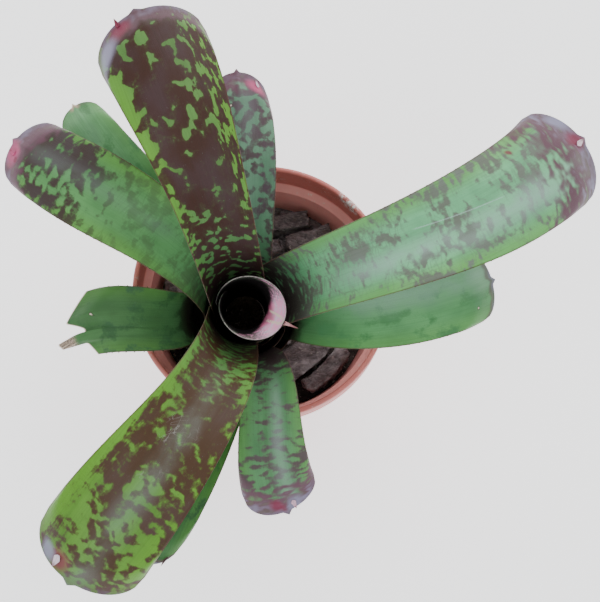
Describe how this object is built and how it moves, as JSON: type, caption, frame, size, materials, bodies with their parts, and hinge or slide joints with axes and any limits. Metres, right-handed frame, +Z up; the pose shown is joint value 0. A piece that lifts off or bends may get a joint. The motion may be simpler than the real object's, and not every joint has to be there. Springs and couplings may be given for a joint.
{
  "type": "potted bromeliad",
  "caption": "Neoregelia bromeliad with mottled strap leaves round an open central cup, rooted in bark chips in a round tapered plastic pot",
  "frame": {"origin": "centre of the pot's underside, on the plane that it stands on", "axes": "+Z up out of the pot; -Y is the side that the plant leans towards; +X to the right seen from there"},
  "size_m": [0.2762, 0.2576, 0.2177],
  "materials": {
    "pot": "terracotta red moulded plastic with a satin surface",
    "growing_mix": "dark crumbly bark mix, dull",
    "stem": "dull brown woody stem",
    "bark": "dark grey-brown bark flakes with grain, dull",
    "leaf": "leathery green leaf with maroon mottling and a soft gloss"
  },
  "bodies": {
    "root": {"pot": "pot", "growing_mix": "growing_mix", "stem": "stem", "bark_chip_01": "bark", "bark_chip_02": "bark", "bark_chip_03": "bark", "bark_chip_04": "bark", "bark_chip_05": "bark", "bark_chip_06": "bark", "bark_chip_07": "bark", "bark_chip_08": "bark", "bark_chip_09": "bark", "bark_chip_10": "bark", "bark_chip_11": "bark", "bark_chip_12": "bark", "bark_chip_13": "bark", "leaf_heart": "leaf", "leaf_back_tall": "leaf", "leaf_front_tall": "leaf", "leaf_right_tall": "leaf", "leaf_left_back": "leaf", "leaf_front": "leaf", "leaf_back": "leaf", "leaf_right_low": "leaf", "leaf_left_torn": "leaf", "leaf_back_old": "leaf", "leaf_front_low": "leaf"}
  },
  "joints": []
}
